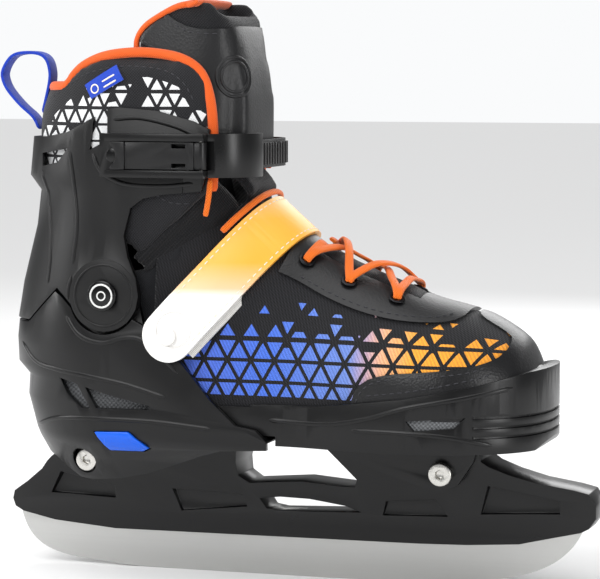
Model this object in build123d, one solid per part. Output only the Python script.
"""Adjustable right-foot ice skate: a steel blade in a moulded holder, a heel shell with a hinged cuff,
a toe shell that slides to change the size, and the soft boot with its straps, buckle and laces.

Millimetres.  +X is towards the toe, +Y towards the inner side of the foot and +Z up.
The origin is the middle of the blade's running edge."""

import math
import os

from build123d import *

# ---------------------------------------------------------------- driving dimensions
BLADE_HALF = 1.5            # half the blade's thickness
GLIDE = 62.0                # half the length of the blade's flat glide zone
BLADE_TANG_Z = 33.0         # top of the blade, inside the holder
RAIL_HALF, RAIL_Z = 7.2, 26.0
HOLDER_TAPER = 0.2          # the holder widens by this much per mm above its rail, on each side
SOLE_Z, FLOOR = 70.0, 3.0   # underside and thickness of the heel shell's floor and sole plate
REAR_BOLT = (-100.0, 56.0)
FRONT_BOLT = (75.5, 56.0)
BOLT_R, SLEEVE_R, HEAD_R = 3.0, 4.0, 5.6
RUN = 0.05                  # radial clearance of a shaft in its hole
CLEAR = 0.4                 # clearance between mouldings that move past each other
PIVOT = (-84.0, 137.5)      # ankle hinge of the cuff
LOBE_R = 17.6               # radius of the cuff's lobe round the hinge
LOBE_FACE = 44.0            # its outer face
EAR_IN, EAR_OUT = 36.0, 38.4
WALL = 3.0                  # thickness of the hard mouldings
SHIN_X, SHAFT_HALF, CORNER = -20.5, 37.0, 16.0      # the padded shaft's front, half width and corner
BAND_Z = (194.0, 214.5)     # buckle
LADDER_Z = (197.5, 211.0)   # ladder strap
LEVER_PIN = (-34.0, -46.4)  # x and y of the lever's hinge pin
STRAP_CREST = (-1.5, 175.5)  # instep strap, middle of its crest
STRAP_TILT = 49.0           # slope of the strap's path down the side of the boot
STRAP_WIDE = 25.0
LACE_R = 1.6
COMB_Z = (73.4, 75.8)       # toe shell's floor and its comb


# ---------------------------------------------------------------- helpers
def prism(points, y_low, y_high):
    """A side-view outline of (x, z) points, extruded from y_low to y_high."""
    face = make_face(Polyline(*[(x, y_low, z) for x, z in points], close=True))
    return extrude(face, amount=y_high - y_low, dir=(0, 1, 0))


def slab(points, z_low, z_high):
    """A plan-view outline of (x, y) points, extruded from z_low to z_high."""
    face = make_face(Polyline(*[(x, y, z_low) for x, y in points], close=True))
    return extrude(face, amount=z_high - z_low, dir=(0, 0, 1))


def block(x, y, z):
    """A box between the (low, high) pairs x, y and z."""
    low = Vector(x[0], y[0], z[0])
    size = Vector(x[1] - x[0], y[1] - y[0], z[1] - z[0])
    return Location(low + size * 0.5) * Box(size.X, size.Y, size.Z)


def cross_rod(spot, radius, y_low, y_high):
    """A cylinder along Y at the (x, z) spot."""
    plane = Plane(origin=(spot[0], y_low, spot[1]), z_dir=(0, 1, 0))
    return extrude(plane * Circle(radius), amount=y_high - y_low)


def post(spot, radius, z_low, z_high):
    """A cylinder along Z at the (x, y) spot."""
    return Location((spot[0], spot[1], z_low)) * extrude(Circle(radius), amount=z_high - z_low)


def interpolate(table, value, column=1):
    """Linear interpolation in a list of rows whose first entry is the position."""
    if value <= table[0][0]:
        return table[0][column]
    for low, high in zip(table, table[1:]):
        if value <= high[0]:
            return low[column] + (high[column] - low[column]) * (value - low[0]) / (high[0] - low[0])
    return table[-1][column]


def scaled(points, spot, factor):
    """A side-view outline scaled about a spot."""
    return [(spot[0] + (x - spot[0]) * factor, spot[1] + (z - spot[1]) * factor) for x, z in points]


def cup(table, inset, low, high, front=60.0, widest=-80.0):
    """A body with a half-elliptic back and straight sides, from rows of (height, back, half width)."""
    faces = []
    for z in [low] + [row[0] for row in table if low < row[0] < high] + [high]:
        back, half = interpolate(table, z) + inset, interpolate(table, z, 2) - inset
        with BuildSketch(Plane.XY.offset(z)) as level:
            with BuildLine():
                EllipticalCenterArc((widest, 0), widest - back, half, 90, arc_size=180)
                Line((widest, -half), (front, -half))
                Line((front, -half), (front, half))
                Line((front, half), (widest, half))
            make_face()
        faces.append(level.sketch)
    return loft(faces, ruled=True)


def tunnel(table, grow, z_low):
    """A foot-shaped body from rows of (x, half width, height of the side, height of the crest)."""
    faces = []
    for x, half, side, top in table:
        plane = Plane(origin=(x, toe_shift(x), 0), x_dir=(0, 1, 0), z_dir=(1, 0, 0))
        a, b = half + grow, top - side + 1.2 * grow
        with BuildSketch(plane) as section:
            with BuildLine():
                EllipticalCenterArc((0, side), a, b, 0, arc_size=180)
                Line((-a, side), (-a, z_low))
                Line((-a, z_low), (a, z_low))
                Line((a, z_low), (a, side))
            make_face()
        faces.append(section.sketch)
    return loft(faces, ruled=True)


def toe_shift(x):
    """The toe leans towards the inner side of the foot."""
    return 5.0 * (max(0.0, x) / 120.0) ** 2


def column(grow, z_low, z_high):
    """The padded shaft's outline at the buckle, grown by an offset."""
    half, radius = SHAFT_HALF + grow, CORNER + grow
    front, back = SHIN_X + grow, -200.0
    with BuildSketch() as outline:
        with BuildLine():
            Line((back, -half), (front - radius, -half))
            CenterArc((front - radius, radius - half), radius, -90, 90)
            Line((front, radius - half), (front, half - radius))
            CenterArc((front - radius, half - radius), radius, 0, 90)
            Line((front - radius, half), (back, half))
            Line((back, half), (back, -half))
        make_face()
    return Location((0, 0, z_low)) * extrude(outline.sketch, amount=z_high - z_low)


def band(inner, outer, z_range):
    """A band round the padded shaft between two offsets from it."""
    return column(outer, *z_range) - column(inner, z_range[0] - 1, z_range[1] + 1)


def between(a, b):
    """The pair in rising order."""
    return (min(a, b), max(a, b))


def write(name, shape):
    """Writes one node as STEP."""
    solids = shape.solids()
    export_step(Compound(children=solids) if len(solids) > 1 else solids[0], f"parts/{name}.step")


# ---------------------------------------------------------------- blade, holder and bolts
def blade():
    """The runner: a flat glide zone, a long rocker each side and rounded ends."""
    with BuildSketch(Plane.XZ.offset(-BLADE_HALF)) as side:
        with BuildLine():
            Line((-GLIDE, 0), (GLIDE, 0))
            Spline((GLIDE, 0), (98, 3.8), (126, 13.6), (139, 29), tangents=((1, 0), (0.45, 1)))
            Line((139, 29), (139, BLADE_TANG_Z))
            Line((139, BLADE_TANG_Z), (-141, BLADE_TANG_Z))
            Line((-141, BLADE_TANG_Z), (-145, 25))
            Spline((-145, 25), (-132, 7.5), (-100, 1.6), (-GLIDE, 0), tangents=((0.25, -1), (1, 0)))
        make_face()
    return extrude(side.sketch, amount=2 * BLADE_HALF)


HOLDER_SIDE = [(-142, 25.6), (-146, 28), (-147, 32), (-145.8, 36), (-137.8, 41.6), (-130, 48), (-127, 52),
               (-124.5, 54.5),
               (-120, 58), (-119, SOLE_Z), (-27, SOLE_Z), (-28.5, 56), (-27.5, 49.5), (-22, 46),
               (3.8, 48), (26.3, 46.2),
               (31, 46.5), (32, 50), (16, 66.5), (16, SOLE_Z), (91, SOLE_Z), (93, 62), (97, 59.5),
               (106.6, 56),
               (120, 52.5), (136.7, 50), (143.7, 48.4), (147.2, 43), (147, 36.5), (143.5, 31.5),
               (139.5, 29.3),
               (110, 22.3), (85, 20.6), (60, 20), (-93, 19.3), (-125, 22)]
RAIL_WINDOW = [(-17.5, 38.4), (-14, 33.6), (-8, 32.6), (32.8, 34), (25.4, 36.7), (8, 39.2), (-7, 39.6)]
SIDE_POCKETS = [[(-62, 41), (-26, 40), (-24, 34), (-58, 30)], [(46, 40), (70, 42), (76, 34), (44, 33)],
                [(96, 50), (130, 44), (130, 38), (92, 36)], [(-120, 47), (-92, 41), (-92, 35), (-126, 36)]]


def holder():
    """Blade holder: a tapered moulding with two posts, an arch, a windowed rail and side pockets."""
    top = RAIL_HALF + HOLDER_TAPER * (SOLE_Z - RAIL_Z)
    front_view = [(-top, SOLE_Z), (-RAIL_HALF, RAIL_Z), (-RAIL_HALF, 15), (RAIL_HALF, 15),
                  (RAIL_HALF, RAIL_Z), (top, SOLE_Z)]
    face = make_face(Polyline(*[(-160, y, z) for y, z in front_view], close=True))
    body = extrude(face, amount=320, dir=(1, 0, 0)) & prism(HOLDER_SIDE, -30, 30)
    body -= prism(RAIL_WINDOW, -30, 30)
    for pocket in SIDE_POCKETS:
        body -= prism(pocket, -30, -5.5) + prism(pocket, 5.5, 30)
    body -= blade()
    for spot in (REAR_BOLT, FRONT_BOLT):
        body -= cross_rod(spot, SLEEVE_R, -40, 40)
    return body


def frame_bolt(spot, half):
    """A socket-head bolt that runs across the holder from the outer side of the foot."""
    bolt = cross_rod(spot, HEAD_R, -half - 3.2, -half)
    bolt = chamfer(bolt.faces().sort_by(Axis.Y)[0].edges(), 0.5)
    bolt += cross_rod(spot, BOLT_R, -half, half - 6)
    plane = Plane(origin=(spot[0], -half - 3.2, spot[1]), z_dir=(0, 1, 0))
    return bolt - extrude(plane * RegularPolygon(2.3, 6), amount=2.4)


def sleeve_nut(spot, half):
    """The bolt's sleeve nut, with a slotted head on the inner side."""
    nut = cross_rod(spot, HEAD_R, half, half + 2.6) + cross_rod(spot, SLEEVE_R, -half + 0.2, half)
    nut -= cross_rod(spot, BOLT_R, -half, half - 5.9)
    return nut - block((spot[0] - 6, spot[0] + 6), (half + 1.2, half + 3), (spot[1] - 0.7, spot[1] + 0.7))


# ---------------------------------------------------------------- heel shell
HEEL = [(46, -124, 27), (58, -128.5, 34), (66, -132, 43), (70, -133.5, 45.1), (86, -138.2, 45.3),
        (96, -137.5, 45.4), (102, -143.5, 45.4), (114, -144, 45.5), (126, -142.6, 45.2), (142, -139, 44.4)]
HEEL_SIDE = [(-160, 90), (-160, 60), (-128, 58.5), (-119, 56), (-112.6, 52), (-104.6, 47), (-97.6, 46.2),
             (-82, 47.8),
             (-68, 50.8), (-53, 56), (-38, 61.6), (-26, 65.3), (-3, 66.6), (-2.4, 71), (-8, 76.2), (-18, 78),
             (-30.6, 90), (-40, 101.4), (-49.5, 112), (-60, 122), (-70, 127), (-88, 122), (-97, 127),
             (-106.5, 135.5), (-111, 138.3), (-128.7, 122.4), (-160, 121.5)]
VENTS = [[(-108, 97), (-98, 94.7), (-91, 83.6), (-95.5, 83.4), (-104, 90)],
         [(-93.5, 93.5), (-80, 90), (-60, 85.6), (-61, 83.9), (-87.6, 83.7)]]
BUTTON = [(-88.5, 72.4), (-71.3, 73), (-61.6, 65.2), (-65.5, 63.3), (-82.2, 63.1)]
EAR = [(-106, 104), (-99, 138), (-94, 148), (-84, 151.5), (-74, 148), (-69, 138), (-62, 104)]


def heel_shell():
    """Heel cup, skirt round the holder's rear post, sole plate, ears for the hinge and front cheeks."""
    outside = cup(HEEL, 0, 46, 142)
    shell = outside - cup(HEEL, WALL, SOLE_Z + FLOOR, 143) - cup(HEEL, WALL, 45, SOLE_Z)
    shelf = [(-106, 104), (-105, 116), (-63, 116), (-62, 104)]
    for side in (-1, 1):
        shell += prism(shelf, *between(side * EAR_IN, side * 60)) & outside
    shell &= prism(HEEL_SIDE, -60, 60)
    lobe = cross_rod(PIVOT, LOBE_R + 1.0, -60, 60)
    shell -= lobe & block((-160, 0), (-60, 60), (116, 200))
    for side in (-1, 1):
        shell += prism(EAR, *between(side * EAR_IN, side * EAR_OUT))
    post_half = RAIL_HALF + HOLDER_TAPER * (SOLE_Z - RAIL_Z)
    for side in (-1, 1):
        shell += cross_rod(REAR_BOLT, 8.5, *between(side * post_half, side * 24.0))
    plate = [(-40, 26), (40, 29), (92, 26), (95, 18), (95, -18), (92, -26), (40, -29), (-40, -26)]
    shell += slab(plate, SOLE_Z, SOLE_Z + FLOOR)
    cheek = [(18, SOLE_Z + 1), (20, 66), (43.4, 56.2), (67, 49), (75.5, 46.8), (83.5, 51), (90.8, 62),
             (93, SOLE_Z + 1)]
    for side in (-1, 1):
        shell += prism(cheek, *between(side * post_half, side * 20.0))
    for outline in VENTS:
        shell -= prism(outline, -60, 60)
    shell -= prism(scaled(BUTTON, (-75, 68), 1.07), -60, -17.5) + block((-70.6, -66.4), (-30, -16.5),
                                                                        (69, 74))
    for spot in (REAR_BOLT, FRONT_BOLT):
        shell -= cross_rod(spot, SLEEVE_R, -60, 60)
    for side in (-1, 1):
        shell -= cross_rod(REAR_BOLT, HEAD_R + 1, *between(side * 24, side * 60))
        shell -= cross_rod(FRONT_BOLT, HEAD_R + 1, *between(side * 20, side * 60))
    return shell - cross_rod(PIVOT, 4, -60, 60)


def pivot_rivet(side):
    """The cuff's hinge pin with its round cap."""
    pin = cross_rod(PIVOT, 4, *between(side * EAR_IN, side * (LOBE_FACE + 0.3)))
    cap = cross_rod(PIVOT, 7.3, *between(side * (LOBE_FACE + 0.3), side * (LOBE_FACE + 2.8)))
    return pin + cap


# ---------------------------------------------------------------- toe shell and its upper
TOE = [(-46, 39.6, 112, 202), (-14, 39.6, 108, 178.5), (0, 39.8, 105, 168.8), (12, 40.4, 102, 160),
       (26, 42.6, 99, 152), (40, 44.5, 97, 146), (54, 46.2, 95, 140.7), (68, 47.2, 94, 135.4),
       (82, 46.6, 93, 131.9),
       (92, 44.0, 92, 129), (100, 40.5, 91, 125), (107, 36, 90, 120.5), (112, 31.5, 89, 115.5),
       (117, 24, 87, 104)]
TOE_VENT = [(66, 84), (93, 86), (88, 81), (70, 79.5)]


def toe_plan(tip, half, z_low, z_high, tail=-46.0):
    """The toe box seen from above, extruded: tip is its front and half its widest half width."""
    waist = min(half, 41.6)
    with BuildSketch() as outline:
        with BuildLine():
            Line((tail, waist), (tail, -waist))
            Line((tail, -waist), (0, -waist))
            Spline((0, -waist), (32, -half + 3.4), (62, -half + 0.6), (92, -half + 6), (tip - 10, -half + 22),
                   (tip, 6), (tip - 9, half - 13), (92, half - 1), (62, half + 1.5), (32, half - 1.8),
                   (0, waist),
                   tangents=((1, 0), (-1, 0)))
            Line((0, waist), (tail, waist))
        make_face()
    return Location((0, 0, z_low)) * extrude(outline.sketch, amount=z_high - z_low)


def toe_shell():
    """The sliding toe box, with a channel for the sole plate and a tail inside the heel shell."""
    shell = toe_plan(124.4, 49.8, 68.8, 112)
    shell &= prism([(-50, 60), (112, 60), (121, 70), (135, 84), (135, 140), (-50, 140)], -60, 60)
    shell -= tunnel(TOE, 0, COMB_Z[1])
    shell -= prism([(-60, 86), (-10, 88), (23, 88.7), (65.5, 94.1), (97, 100.3), (118, 105.7), (130, 107),
                    (130, 200), (-60, 200)], -60, 60)
    shell -= block((-60, 95.6), (-30.4, 30.4), (60, COMB_Z[0]))
    shell -= block((-60, 1.0), (-60, 60), (60, COMB_Z[0]))
    shell -= block((-60, -11), (-60, 60), (COMB_Z[1] + 11, 100))
    for z in (76.0, 80.5, 85.0):
        shell -= toe_plan(140, 60, z, z + 1.4) - toe_plan(122.9, 48.3, z - 1, z + 3) - block((-60, 96),
                                                                                             (-70, 70), (60, 99))
    for side in (-1, 1):
        shell -= prism(TOE_VENT, *between(side * 30, side * 60))
    return shell


def vent_mesh(side):
    """Mesh behind the toe shell's vent."""
    plate = prism(TOE_VENT, *between(side * 30, side * 60))
    half = 48.0 if side < 0 else 49.2
    return plate & (toe_plan(half + 74.4, half, 70, 100) - toe_plan(half + 73.4, half - 1, 70, 100))


UPPER_SIDE = [(-13, 80), (125, 80), (125, 150), (60, 175), (15, 168.6), (-13, 136.4), (-13, 120)]


def toe_upper():
    """Soft vamp: an arched skin open towards the heel, with a slot for the tongue."""
    skin = tunnel(TOE, 0, COMB_Z[1]) - tunnel(TOE, -2.4, COMB_Z[1] + 2.4)
    skin -= block((-60, 0), (-60, 60), (60, 90)) & block((-60, -11), (-60, 60), (60, 86))
    skin &= prism(UPPER_SIDE, -60, 60)
    return skin - block((9.5, 63), (-11.5, 11.5), (110, 180))


def tongue_front():
    """Padded tongue under the laces."""
    strip = tunnel(TOE, 0.8, 78) - tunnel(TOE, -2.4, 77)
    return strip & block((10, 62.6), (-11.2, 11.2), (110, 180))


STAY = [(-1, 150), (8, 146), (23.6, 138.3), (40.3, 132.4), (57, 128.9), (73.3, 127.8), (81.7, 130),
        (78, 150), (8, 172)]


def eyestay(side):
    """Reinforced band that carries the eyelets on one side of the tongue, joined in front of it."""
    skin = tunnel(TOE, 1.5, 78) - tunnel(TOE, 0, 77)
    stay = skin & prism(STAY, *between(0, side * 60)) & prism(UPPER_SIDE, -60, 60)
    stay -= block((-30, 63), (-11.5, 11.5), (110, 180))
    for x, y in EYELETS:
        stay -= eyelet_rod(x, side * y, 2.7, -3, 3)
    return stay


EYELETS = [(9.5, 20.5), (30.5, 20.5), (53.5, 20.0)]


def skin_point(x, y, lift):
    """The point at (x, y) on the vamp's outside, lifted along its normal, and that normal."""
    def height(px, py):
        half, side, top = (interpolate(TOE, px, i) for i in (1, 2, 3))
        return side + (top - side) * math.sqrt(max(0.02, 1 - ((py - toe_shift(px)) / half) ** 2))
    slope_x = (height(x + 1, y) - height(x - 1, y)) / 2
    slope_y = (height(x, y + 1) - height(x, y - 1)) / 2
    normal = Vector(-slope_x, -slope_y, 1).normalized()
    return Vector(x, y, height(x, y)) + normal * lift, normal


def eyelet_rod(x, y, radius, low, high):
    """A cylinder along the vamp's normal at an eyelet."""
    start, normal = skin_point(x, y, low)
    return extrude(Plane(origin=start, z_dir=normal) * Circle(radius), amount=high - low)


def eyelets():
    """Six metal eyelets."""
    rings = []
    for x, y in EYELETS:
        for side in (-1, 1):
            ring = eyelet_rod(x, side * y, 4.0, 2.2, 3.1) + eyelet_rod(x, side * y, 2.65, 0.5, 2.2)
            rings.append(ring - eyelet_rod(x, side * y, 2.1, -4, 4))
    return Compound(children=rings)


def toe_lace():
    """The lace: it comes out of each eyelet, crosses the tongue and goes in at the next one."""
    holes = [(EYELETS[0], -1), (EYELETS[1], 1), (EYELETS[2], -1), (EYELETS[2], 1), (EYELETS[1], -1),
             (EYELETS[0], 1)]
    lifts = (5.8, 5.8, 5.6, 9.3, 9.3)
    solids = [cord([skin_point(13.5, -7, 5.8)[0], skin_point(9.5, -20.5, 5.4)[0]], LACE_R)]
    for ((x, y), side), ((nx, ny), other), lift in zip(holes, holes[1:], lifts):
        route = [skin_point(x, side * y, 5.4)[0]]
        for part in (0.3, 0.7):
            route.append(skin_point(x + (nx - x) * part, side * y + (other * ny - side * y) * part, lift)[0])
        solids.append(cord(route + [skin_point(nx, other * ny, 5.4)[0]], LACE_R))
    solids.append(cord([skin_point(9.5, 20.5, 5.4)[0], skin_point(13.5, 7, 8.9)[0]], LACE_R))
    for (x, y), side in holes:
        solids.append(cord([skin_point(x, side * y, 1.8)[0], skin_point(x, side * y, 5.4)[0]], LACE_R * 0.98))
    lace = solids[0]
    for solid in solids[1:]:
        lace += solid
    return lace


CAP_SIDE = [(38.3, 86), (40.7, 96.6), (47.1, 102.2), (58.2, 104.9), (73.1, 106.2), (92.7, 108.4),
            (104.3, 112.6),
            (107.2, 118.8), (105.3, 122.6), (87, 133.5), (92, 140), (135, 120), (135, 86)]


def toe_cap():
    """Scuff guard round the front of the vamp, above the toe shell."""
    guard = (tunnel(TOE, 1.1, 80) - tunnel(TOE, 0, 70)) & prism(CAP_SIDE, -60, 60)
    return guard - prism([(-60, 80), (-10, 88.1), (23, 88.8), (65.5, 94.2), (97, 100.4), (118, 105.8),
                          (130, 107),
                          (130, 60), (-60, 60)], -60, 60)


# ---------------------------------------------------------------- inner boot and instep strap
BOOT = [(-62, 36.4, 112, 208), (-40, 36.4, 112, 193.5), (-20, 36.4, 110, 178.6), (0, 36.4, 105, 164.2),
        (12.7, 36.4, 102, 155), (28, 36.4, 98, 146.6)]
ANKLE = [(76.2, -129.5, 37.5), (90, -133.5, 39), (100, -135, 39.5), (103, -138.5, 35.6), (114, -139.5, 35.6),
         (126, -138.4, 35.6), (141, -135.6, 35.6), (170, -132, 35.6)]


def ray(angle, radius):
    """The point at an angle above the forward direction, seen from the ankle hinge."""
    turn = math.radians(angle)
    return (PIVOT[0] + radius * math.cos(turn), PIVOT[1] + radius * math.sin(turn))


def inner_boot():
    """Padded lining of the heel and the middle of the foot, open for the leg and towards the toe."""
    solid = cup(ANKLE, 0, 76.2, 165, front=-47.4) + tunnel(BOOT, 0, 76.2)
    cavity = cup(ANKLE, 6.5, 79, 240, front=-50) + tunnel(BOOT, -2.6, 79) + block((27, 40), (-33.8, 33.8),
                                                                                  (79, 100))
    boot = solid - cavity
    opening = [ray(35, 23.5), ray(35, 200), (-84, 320), (-180, 300), (-180, 141), (-107.5, 141)]
    boot -= prism(opening, -60, 60)
    boot -= cross_rod(PIVOT, 23.5, -60, 60) & block((-120, -60), (-60, 60), (156, 170))
    return boot


def footbed():
    """Insole that lies in the inner boot."""
    return slab([(-117, -15), (-106, -24), (-80, -28), (26, -31), (26, 31), (-80, 28), (-106, 24),
                 (-117, 15)], 79, 82)


def toe_insole():
    """Front half of the insole, which travels with the toe shell."""
    return slab([(30, -38), (70, -42), (95, -33), (108, -10), (110, 8), (104, 24), (88, 36), (60, 42),
                 (30, 38)],
                COMB_Z[1], 79)


# (depth below the crest, half width) of the strap's outside
ARCH = [(0, 0), (1.2, 10), (4.5, 18.5), (10, 25.5), (19, 31.5), (30, 36), (43, 40.2), (56, 44.6),
        (68, 47.6), (90, 48.2)]


def strap_plane(along):
    """A plane across the instep: its x is +Y, its y runs up the strap and its normal is the strap's width."""
    turn = math.radians(STRAP_TILT)
    width = Vector(math.sin(turn), 0, -math.cos(turn))
    origin = Vector(STRAP_CREST[0], 0, STRAP_CREST[1]) + width * along
    return Plane(origin=origin, x_dir=(0, 1, 0), z_dir=width)


def arch(inset, deep, low, high):
    """The solid under the strap's arch, inset from its outside, down to a depth and across a width."""
    points = [(0, -inset)]
    for d, y in ARCH[1:]:
        if d < deep:
            points.append((max(1.0, y - inset * (0.4 if y < 19 else 1)), -d - inset * (1 if y < 32 else 0.4)))
    points.append((interpolate(ARCH, deep) - inset, -deep - inset))
    with BuildSketch(strap_plane(low)) as section:
        with BuildLine():
            Spline(*points)
            Spline(*[(-y, z) for y, z in points])
            Line(points[-1], (-points[-1][0], points[-1][1]))
        make_face()
    return extrude(section.sketch, amount=high - low)


def strap_spot(deep, along=0.0):
    """The side-view point at a depth below the strap's crest and a distance across its width."""
    spot = strap_plane(along).from_local_coords((0, -deep))
    return (spot.X, spot.Z)


def round_end(deep, side, radius):
    """What lies below a depth on one side of the strap, less a round end."""
    half = STRAP_WIDE / 2
    corners = [strap_spot(deep, -half - 3), strap_spot(deep, half + 3), strap_spot(deep + 40, half + 3),
               strap_spot(deep + 40, -half - 3)]
    cut = prism(corners, *between(side * 20, side * 60))
    return cut - cross_rod(strap_spot(deep), radius, *between(side * 20, side * 60))


def instep_strap():
    """Hook-and-loop strap over the instep, with a rounded end on the outer side."""
    half = STRAP_WIDE / 2
    strap = arch(0, 88, -half, half) - arch(2.4, 92, -half - 1, half + 1)
    strap -= round_end(74, -1, half) + round_end(74, 1, half)
    return strap - cross_rod(strap_spot(74), 2, -60, 60)


def under_strap():
    """The strap's lower layer on the outer side, fixed to the heel shell."""
    half = STRAP_WIDE / 2
    layer = arch(2.5, 84, -half + 4, half + 3) - arch(4.3, 90, -half, half + 4)
    corners = [strap_spot(24, -20), strap_spot(24, 20), strap_spot(74, 20), strap_spot(74, -20)]
    return (layer & prism(corners, -60, 0)) - cross_rod(strap_spot(74), 2, -60, 0)


def strap_rivet(side):
    """Rivet that holds the strap to the heel shell."""
    spot = strap_spot(74)
    return cross_rod(spot, 4.5, *between(side * 48.8, side * 50.4)) + cross_rod(spot, 2,
                                                                                *between(side * 45.6, side * 48.9))


def instep_tongue():
    """The stretch of tongue under the strap and up to the cuff."""
    low = arch(2.6, 13, -13.5, 13) - arch(5.0, 16, -15, 14)
    low += arch(4.2, 16, -20.5, -13.4) - arch(6.8, 20, -21.5, -13)
    high = cross_rod(PIVOT, 84.2, -19, 19) - cross_rod(PIVOT, 79.5, -20, 20)
    high &= prism([PIVOT, ray(36, 120), ray(50, 120)], -20, 20)
    return low + high


def lace_loop():
    """Stretch of lace that lies along the strap's rear edge."""
    spots = [(-33, -22.6), (-26, -11.6), (-14, -2.4), (0, 0.4), (14, -2.4), (26, -11.6), (33, -22.6)]
    return cord([strap_plane(-15.3).from_local_coords(spot) for spot in spots], 1.5)


def cord(points, radius):
    """A cord of straight runs with round joints."""
    solid = Location(points[0]) * Sphere(radius)
    for a, b in zip(points, points[1:]):
        solid += extrude(Plane(origin=a, z_dir=b - a) * Circle(radius), amount=(b - a).length)
        solid += Location(b) * Sphere(radius)
    return solid


# ---------------------------------------------------------------- cuff
CUFF = [(116, -142.5, 44), (122, -144, 44), (141, -140.5, 44), (169, -133, 42.6), (186, -131, 41),
        (193, -136.9, 40.4),
        (227, -133.5, 39.6)]
CUFF_SIDE = [(-160, 123.2), (-128.7, 123.6), (-110, 140.2), (-105.6, 136.4), (-97, 128), (-94, 123),
             (-84, PIVOT[1] - LOBE_R),
             (-72.2, 124.7), (-67.8, 131), (-66.4, 137.5), (-67.7, 145.8), (-72, 156), (-74, 166), (-71, 179),
             (-64.8, 183.6), (-55.6, 185.6), (-36, 187.4), (-34.5, 191.7), (-31.8, 216.4), (-40, 220.3),
             (-58, 225),
             (-77.5, 226.6), (-83.1, 225.7), (-83.1, 214.3), (-85.9, 209.7), (-92.6, 206.2), (-90.2, 221.9),
             (-96.4, 218.8), (-105.3, 214.6), (-118.4, 212.2), (-160, 211)]
CUFF_WINDOW = [(-121.9, 204.2), (-105.1, 206.8), (-111.3, 200), (-121.7, 197.9)]


def cuff_shell():
    """Moulded cuff: a back, two wings and two lobes for the hinge."""
    outside = cup(CUFF, 0, 116, 227)
    shell = (outside - cup(CUFF, WALL, 115, 228)) & prism(CUFF_SIDE, -60, 60)
    for side in (-1, 1):
        shell += cross_rod(PIVOT, LOBE_R - 0.4, *between(side * (EAR_OUT + CLEAR), side * LOBE_FACE))
    shell -= prism(CUFF_WINDOW, -60, 60)
    shell -= block((-45, 0), (-60, 60), (150, 230)) - column(3.2, 149, 231)
    return shell - cross_rod(PIVOT, 4 + RUN, -60, 60)


COLLAR = [(144, -136.6, 40.3), (169, -129.6, 39.2), (186, -127.6, 37.6), (193, -130, 37), (212, -132.2, 36.4),
          (224, -131, 36.2), (237, -125.8, 36.2), (256, -117, 35.6)]
COLLAR_SIDE = [(-160, 144), (-107, 144), (-100, 150), (-84, 161.8), ray(44, 24.3), ray(44, 93),
               (-24.2, 215), (-28.3, 230.3),
               (-34, 239.6), (-41.4, 246.6), (-48.2, 249.7), (-57.2, 251.2), (-69.7, 252.2), (-84.9, 250.9),
               (-95, 248.1), (-103.4, 243.4), (-110.7, 237.1), (-160, 236)]


def collar():
    """Padded textile collar round the ankle, open in front for the tongue."""
    ring = cup(COLLAR, 0, 144, 254) - cup(COLLAR, 5.4, 143, 256)
    ring = (ring & column(-0.2, 140,
                          256)) + ((column(-0.2, 144, 254) - column(-5.6, 143, 256)) & block((-50, 0),
                                                                                             (-60, 60), (140, 256)))
    ring &= prism(COLLAR_SIDE, -60, 60)
    ring -= block((-60, 0), (-22.4, 22.4), (140, 256))
    ring -= cross_rod(PIVOT, 24.2, -60, 60)
    return ring


TONGUE_SIDE = [(-72, 205), (-72.6, 253), (-72.3, 258.2), (-69.5, 263.3), (-64, 267.3), (-53.1, 274.5),
               (-45, 276.6), (-37.6, 277),
               (-33.7, 275.4), (-29.3, 270.2), (-26.6, 262.9), (-24.4, 252.6), (-22, 240.2),
               (-20.6, 230.8), (-20, 190)]


def tongue():
    """Tall padded tongue in front of the shin."""
    wrap = column(-7.2, 190, 278) - column(-11.4, 189, 279)
    pad = (column(0, 190, 278) - column(-7.2, 189, 279)) & block((-40, 0), (-22, 22), (190, 278))
    solid = (wrap + pad) & prism(TONGUE_SIDE, -60, 60)
    return solid - cross_rod(PIVOT, 87, -60, 60)


def collar_piping():
    """Piping along the collar's rim."""
    rim = [(-116, 237.5), (-110.7, 237.6), (-103.4, 243.9), (-95, 248.6), (-84.9, 251.4), (-69.7, 252.8),
           (-57.2, 251.8),
           (-48.2, 250.2), (-41.6, 247.2), (-34.6, 240.2)]
    upper = [(x, z + 2.6) for x, z in rim]
    strip = prism(rim + upper[::-1], -60, 60)
    ring = cup(COLLAR, -0.1, 236, 256) - cup(COLLAR, 2.7, 235, 257)
    return ring & strip & column(-0.1, 230, 256)


def buckle_frame():
    """Buckle base: a plate with side rails, riveted to the outer wing and curved round to the shin."""
    low, high = BAND_Z
    plate = band(5.9, 8.2, BAND_Z) & block((-85, 0), (-60, -19), (low, high))
    plate -= cross_rod((-93, 204.2), 9, -60, 0)
    rails = block((-80, -31), (-51.4, -SHAFT_HALF - 8), (low, low + 3.4)) + block((-80, -31),
                                                                                  (-51.4, -SHAFT_HALF - 8), (high - 3.4, high))
    foot = block((-84, -72), (-SHAFT_HALF - 6, -SHAFT_HALF - 3.5), (low + 1, high - 1))
    pin_hole = post(LEVER_PIN, 1.2, low - 1, high + 1)
    frame = plate + (rails - pin_hole) + foot
    return frame - block((-40, -28), (-49.5, -43.1), (low + 3.4, high - 3.4)) - pin_hole


def lever_pin():
    """Hinge pin of the buckle's lever."""
    return post(LEVER_PIN, 1.2, BAND_Z[0], BAND_Z[1])


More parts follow.
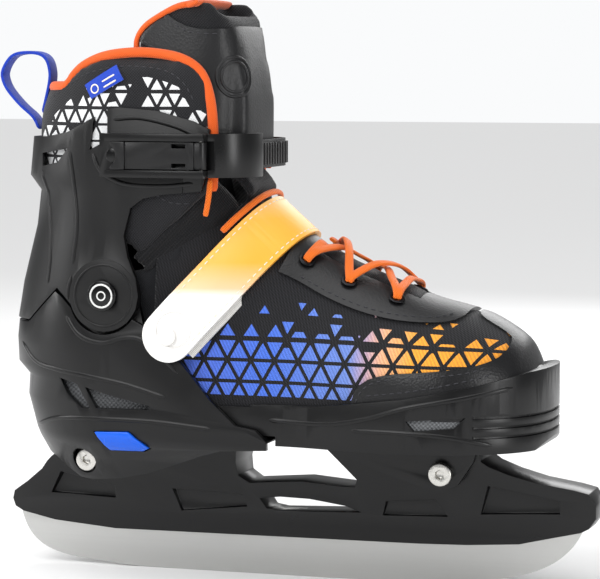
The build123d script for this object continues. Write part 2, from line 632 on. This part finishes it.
def buckle_lever():
    """Lever of the buckle, with a curved finger end."""
    low, high = BAND_Z[0] + 3.8, BAND_Z[1] - 3.8
    arm = prism([(-77, low), (-36, low), (-36, high), (-77, high)], -50.6, -47.6) + post(LEVER_PIN, 3.0,
                                                                                         low, high)
    arm += prism([(-37, low), (-34, low), (-34, high), (-37, high)], -49.4, -47.6)
    arm += prism([(-77, low), (-70, low), (-70, high), (-77, high)], -52.2, -50.6)
    arm -= cross_rod((-80.5, 204.2), 6.2, -60, -40)
    for z in (low + 0.9, high - 2.9):
        arm -= prism([(-47, z), (-40, z), (-40, z + 2), (-47, z + 2)], -60, -47)
    return arm - post(LEVER_PIN, 1.2 + RUN, low - 1, high + 1)


def buckle_rivet():
    """Rivet that holds the buckle's foot to the cuff."""
    return cross_rod((-78, 204.2), 3.4, -SHAFT_HALF - 9.4, -SHAFT_HALF - 8.2)


def ladder_strap():
    """Toothed strap from the inner wing round the shin and through the buckle."""
    path = band(3.4, 5.4, LADDER_Z)
    lateral = block((-66, 0), (-60, 0), LADDER_Z)
    medial = block((-72, 0), (0, 60), LADDER_Z)
    strap = path & (lateral + medial)
    teeth = band(5.3, 6.6, (LADDER_Z[0] + 1.5, LADDER_Z[1] - 1.5)) & block((-30, 0), (-14, 30), (190, 220))
    for i in range(11):
        y = -12 + 4 * i
        teeth -= block((-40, 0), (y - 0.9, y + 0.9), (190, 220))
    return strap + teeth


def ladder_rivet():
    """Rivet that holds the ladder strap to the inner wing."""
    return cross_rod((-64, 204.2), 4.4, SHAFT_HALF + 5.4, SHAFT_HALF + 7.4)


def pull_loop():
    """Webbing loop at the back of the collar."""
    outer = [(-129.4, 222), (-125.8, 238), (-126, 245), (-128.6, 250.7), (-133.5, 253), (-141, 253.6),
             (-146.6, 252.6),
             (-150.7, 249.1), (-153.7, 243.8), (-153.7, 239.5), (-150.9, 233.6), (-144, 226.1),
             (-138, 220.6), (-134.2, 214.5), (-132.4, 214.5)]
    inner = [(-132.2, 224), (-128.2, 238), (-128.4, 244.4), (-130.3, 249), (-134, 250.9), (-141, 251.4),
             (-145.7, 250.5),
             (-149, 247.6), (-151.5, 243.3), (-151.5, 240), (-149.1, 234.9), (-142.6, 227.8), (-135, 221.4)]
    loop = prism(outer, -4.5, 4.5) - prism(inner, -5, 5)
    return loop - cup(COLLAR, -0.2, 200, 240)


def label_tab():
    """Woven tab at the side of the collar."""
    tab = prism([(-96.3, 238), (-78.5, 247.2), (-74.8, 240.3), (-92.5, 231.6)], -60, -20)
    return tab & (cup(COLLAR, -1.3, 225, 256) - cup(COLLAR, -0.1, 224, 257)) & column(1.5, 225, 256)


def lace_end():
    """End of the lace, hanging from under the buckle."""
    return cord([Vector(-31, -41.3, 192.4), Vector(-31.5, -41.2, 186), Vector(-33.2, -41.4, 176)], 1.4)


# ---------------------------------------------------------------- size lock
def size_comb():
    """Comb on the toe shell's tail that the button's tooth locks into."""
    comb = slab([(-72, -22), (-46.01, -22), (-46.01, -9), (-72, -9)], *COMB_Z)
    comb -= block((-68, -48), (-16.4, -12.4), (70, 80))
    for i in range(5):
        comb -= block((-66.5 + 4 * i, -64.3 + 4 * i), (-19.2, -16), (70, 80))
    return comb


def size_button():
    """Push button in the heel shell's outer wall."""
    button = prism(BUTTON, -60, -21.5) & cup(HEEL, -1.2, 60, 75)
    return button - prism(scaled(BUTTON, (-75, 68), 0.7), -29, -20) - latch_tooth()


def latch_tooth():
    """The button's tooth; it stands just under the comb."""
    return block((-70, -67), (-29, -20.1), (66, 73))


SHAPES = {
    "blade": blade, "blade_holder": holder,
    "rear_bolt": lambda: frame_bolt(REAR_BOLT, 24.0), "front_bolt": lambda: frame_bolt(FRONT_BOLT, 20.0),
    "rear_sleeve_nut": lambda: sleeve_nut(REAR_BOLT, 24.0),
    "front_sleeve_nut": lambda: sleeve_nut(FRONT_BOLT, 20.0),
    "heel_shell": heel_shell, "pivot_rivet_outer": lambda: pivot_rivet(-1),
    "pivot_rivet_inner": lambda: pivot_rivet(1),
    "inner_boot": inner_boot, "footbed": footbed, "instep_strap": instep_strap, "under_strap": under_strap,
    "strap_rivet_outer": lambda: strap_rivet(-1), "strap_rivet_inner": lambda: strap_rivet(1),
    "instep_tongue": instep_tongue, "lace_loop": lace_loop,
    "toe_shell": toe_shell, "toe_vent_outer": lambda: vent_mesh(-1), "toe_vent_inner": lambda: vent_mesh(1),
    "toe_upper": toe_upper, "tongue_front": tongue_front, "eyestay_outer": lambda: eyestay(-1),
    "eyestay_inner": lambda: eyestay(1), "eyelets": eyelets, "toe_lace": toe_lace, "toe_cap": toe_cap,
    "toe_insole": toe_insole, "size_comb": size_comb,
    "cuff_shell": cuff_shell, "collar": collar, "tongue": tongue, "collar_piping": collar_piping,
    "buckle_frame": buckle_frame, "lever_pin": lever_pin, "buckle_rivet": buckle_rivet,
    "ladder_strap": ladder_strap,
    "ladder_rivet": ladder_rivet, "pull_loop": pull_loop, "label_tab": label_tab, "lace_end": lace_end,
    "buckle_lever": buckle_lever, "size_button": size_button, "latch_tooth": latch_tooth,
}

if __name__ == "__main__":
    os.makedirs("parts", exist_ok=True)
    for name, make in SHAPES.items():
        write(name, make())
